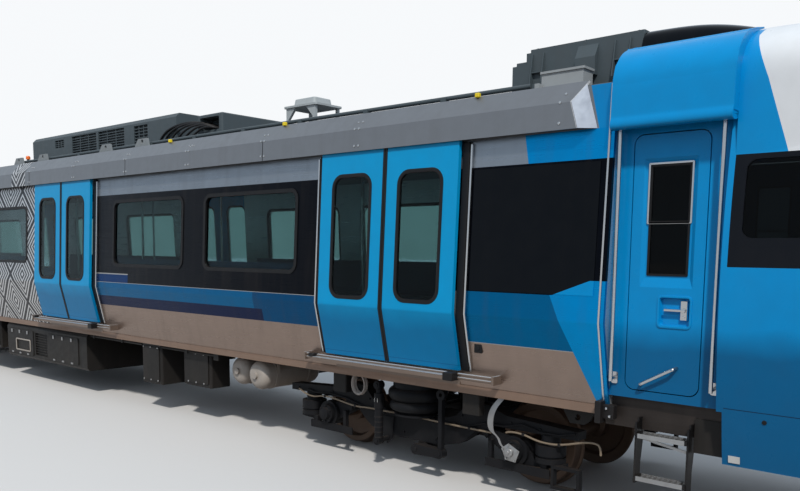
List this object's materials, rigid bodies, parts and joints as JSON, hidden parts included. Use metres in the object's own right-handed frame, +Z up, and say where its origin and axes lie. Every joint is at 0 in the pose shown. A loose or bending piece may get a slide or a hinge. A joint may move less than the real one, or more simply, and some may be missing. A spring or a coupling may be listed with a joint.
{
  "type": "metro car",
  "caption": "Electric multiple-unit end car on two bogies, with a moulded driver's cab, bent stainless body sides, exterior sliding doors under a cantrail hood and roof-mounted equipment.",
  "frame": {"origin": "bottom centre of the whole car, under its middle, at the lowest point of the wheel flanges", "axes": "+X forward to the cab, +Y to the left-hand side, +Z up"},
  "size_m": [22.6, 2.9512, 3.983],
  "materials": {
    "body_steel": "brushed stainless steel with painted bands",
    "hood_paint": "satin grey paint",
    "cab_blue": "gloss blue paint",
    "door_blue": "gloss blue paint",
    "roof_grey": "matt grey paint",
    "black_rubber": "matt black rubber",
    "tinted_glass": "green tinted glass",
    "lamp_glass": "clear lamp glass",
    "bogie_paint": "dark grey paint, dusty",
    "wheel_steel": "rolled steel, bright tread",
    "underfloor_paint": "dark grey paint, dusty",
    "tank_white": "off-white paint",
    "step_steel": "plain metal",
    "bright_steel": "brushed stainless steel",
    "saloon_plastic": "moulded plastic",
    "seat_plastic": "moulded plastic",
    "white_plastic": "white plastic",
    "black_panel": "gloss black"
  },
  "bodies": {
    "car_body": {"air_tanks": "tank_white", "antenna_stand": "white_plastic", "cab_bulkhead": "body_steel", "cab_glazing": "tinted_glass", "cab_grab_rails": "bright_steel", "cab_portal": "cab_blue", "cab_roof_fairing": "black_panel", "cab_shell": "cab_blue", "cab_skirt": "cab_blue", "cab_steps": "step_steel", "cantrails": "hood_paint", "converter_case": "underfloor_paint", "door_sills": "bright_steel", "drivers_place": "saloon_plastic", "end_panels": "black_panel", "equipment_boxes": "underfloor_paint", "front_coupler": "bogie_paint", "gangway": "black_rubber", "grab_poles": "bright_steel", "headlamps": "lamp_glass", "rear_coupler": "bogie_paint", "rear_end_wall": "body_steel", "roof_box": "roof_grey", "roof_duct": "roof_grey", "roof_shell": "roof_grey", "roof_unit_front": "roof_grey", "roof_unit_rear": "roof_grey", "saloon_ceiling": "white_plastic", "saloon_seats": "seat_plastic", "side_walls": "body_steel", "underfloor_fittings": "underfloor_paint", "underframe": "body_steel", "window_panes": "tinted_glass", "window_rubbers": "black_rubber"},
    "front_bogie": {"front_air_springs": "bogie_paint", "front_axleboxes": "bogie_paint", "front_bogie_frame": "bogie_paint", "front_bogie_gear": "bogie_paint"},
    "wheelset_front_leading": {"wheelset_front_leading": "wheel_steel"},
    "wheelset_front_trailing": {"wheelset_front_trailing": "wheel_steel"},
    "rear_bogie": {"rear_air_springs": "bogie_paint", "rear_axleboxes": "bogie_paint", "rear_bogie_frame": "bogie_paint", "rear_bogie_gear": "bogie_paint"},
    "wheelset_rear_leading": {"wheelset_rear_leading": "wheel_steel"},
    "wheelset_rear_trailing": {"wheelset_rear_trailing": "wheel_steel"},
    "door_front_a_left": {"door_front_a_left": "door_blue"},
    "door_front_b_left": {"door_front_b_left": "door_blue"},
    "door_front_a_right": {"door_front_a_right": "door_blue"},
    "door_front_b_right": {"door_front_b_right": "door_blue"},
    "door_middle_a_left": {"door_middle_a_left": "door_blue"},
    "door_middle_b_left": {"door_middle_b_left": "door_blue"},
    "door_middle_a_right": {"door_middle_a_right": "door_blue"},
    "door_middle_b_right": {"door_middle_b_right": "door_blue"},
    "door_rear_a_left": {"door_rear_a_left": "door_blue"},
    "door_rear_b_left": {"door_rear_b_left": "door_blue"},
    "door_rear_a_right": {"door_rear_a_right": "door_blue"},
    "door_rear_b_right": {"door_rear_b_right": "door_blue"},
    "cab_door_right": {"cab_door_right": "cab_blue"},
    "cab_door_left": {"cab_door_left": "cab_blue"}
  },
  "joints": [
    {"name": "front_bogie_pivot", "type": "hinge", "parent": "car_body", "child": "front_bogie", "pos_m": [5.7, 0, 0.528], "axis": [0, 0, 1], "range_deg": [-4, 4]},
    {"name": "front_leading_axle", "type": "hinge", "parent": "front_bogie", "child": "wheelset_front_leading", "pos_m": [6.9, 0, 0.418], "axis": [0, 1, 0], "continuous": true},
    {"name": "front_trailing_axle", "type": "hinge", "parent": "front_bogie", "child": "wheelset_front_trailing", "pos_m": [4.5, 0, 0.418], "axis": [0, 1, 0], "continuous": true},
    {"name": "rear_bogie_pivot", "type": "hinge", "parent": "car_body", "child": "rear_bogie", "pos_m": [-7.9, 0, 0.528], "axis": [0, 0, 1], "range_deg": [-4, 4]},
    {"name": "rear_leading_axle", "type": "hinge", "parent": "rear_bogie", "child": "wheelset_rear_leading", "pos_m": [-6.7, 0, 0.418], "axis": [0, 1, 0], "continuous": true},
    {"name": "rear_trailing_axle", "type": "hinge", "parent": "rear_bogie", "child": "wheelset_rear_trailing", "pos_m": [-9.1, 0, 0.418], "axis": [0, 1, 0], "continuous": true},
    {"name": "door_front_a_left_slide", "type": "slide", "parent": "car_body", "child": "door_front_a_left", "axis": [1, 0, 0], "range_m": [0, 0.78]},
    {"name": "door_front_b_left_slide", "type": "slide", "parent": "car_body", "child": "door_front_b_left", "axis": [-1, 0, 0], "range_m": [0, 0.78]},
    {"name": "door_front_a_right_slide", "type": "slide", "parent": "car_body", "child": "door_front_a_right", "axis": [1, 0, 0], "range_m": [0, 0.78]},
    {"name": "door_front_b_right_slide", "type": "slide", "parent": "car_body", "child": "door_front_b_right", "axis": [-1, 0, 0], "range_m": [0, 0.78]},
    {"name": "door_middle_a_left_slide", "type": "slide", "parent": "car_body", "child": "door_middle_a_left", "axis": [1, 0, 0], "range_m": [0, 0.78]},
    {"name": "door_middle_b_left_slide", "type": "slide", "parent": "car_body", "child": "door_middle_b_left", "axis": [-1, 0, 0], "range_m": [0, 0.78]},
    {"name": "door_middle_a_right_slide", "type": "slide", "parent": "car_body", "child": "door_middle_a_right", "axis": [1, 0, 0], "range_m": [0, 0.78]},
    {"name": "door_middle_b_right_slide", "type": "slide", "parent": "car_body", "child": "door_middle_b_right", "axis": [-1, 0, 0], "range_m": [0, 0.78]},
    {"name": "door_rear_a_left_slide", "type": "slide", "parent": "car_body", "child": "door_rear_a_left", "axis": [1, 0, 0], "range_m": [0, 0.78]},
    {"name": "door_rear_b_left_slide", "type": "slide", "parent": "car_body", "child": "door_rear_b_left", "axis": [-1, 0, 0], "range_m": [0, 0.78]},
    {"name": "door_rear_a_right_slide", "type": "slide", "parent": "car_body", "child": "door_rear_a_right", "axis": [1, 0, 0], "range_m": [0, 0.78]},
    {"name": "door_rear_b_right_slide", "type": "slide", "parent": "car_body", "child": "door_rear_b_right", "axis": [-1, 0, 0], "range_m": [0, 0.78]},
    {"name": "cab_door_right_hinge", "type": "hinge", "parent": "car_body", "child": "cab_door_right", "pos_m": [8.026, -1.206, 2.103], "axis": [0, 0, 1], "range_deg": [0, 90]},
    {"name": "cab_door_left_hinge", "type": "hinge", "parent": "car_body", "child": "cab_door_left", "pos_m": [8.026, 1.206, 2.103], "axis": [0, 0, -1], "range_deg": [0, 90]}
  ],
  "couplings": [
    {"joint": "door_front_b_left_slide", "follows": "door_front_a_left_slide", "ratio": 1},
    {"joint": "door_front_b_right_slide", "follows": "door_front_a_right_slide", "ratio": 1},
    {"joint": "door_middle_b_left_slide", "follows": "door_middle_a_left_slide", "ratio": 1},
    {"joint": "door_middle_b_right_slide", "follows": "door_middle_a_right_slide", "ratio": 1},
    {"joint": "door_rear_b_left_slide", "follows": "door_rear_a_left_slide", "ratio": 1},
    {"joint": "door_rear_b_right_slide", "follows": "door_rear_a_right_slide", "ratio": 1}
  ]
}
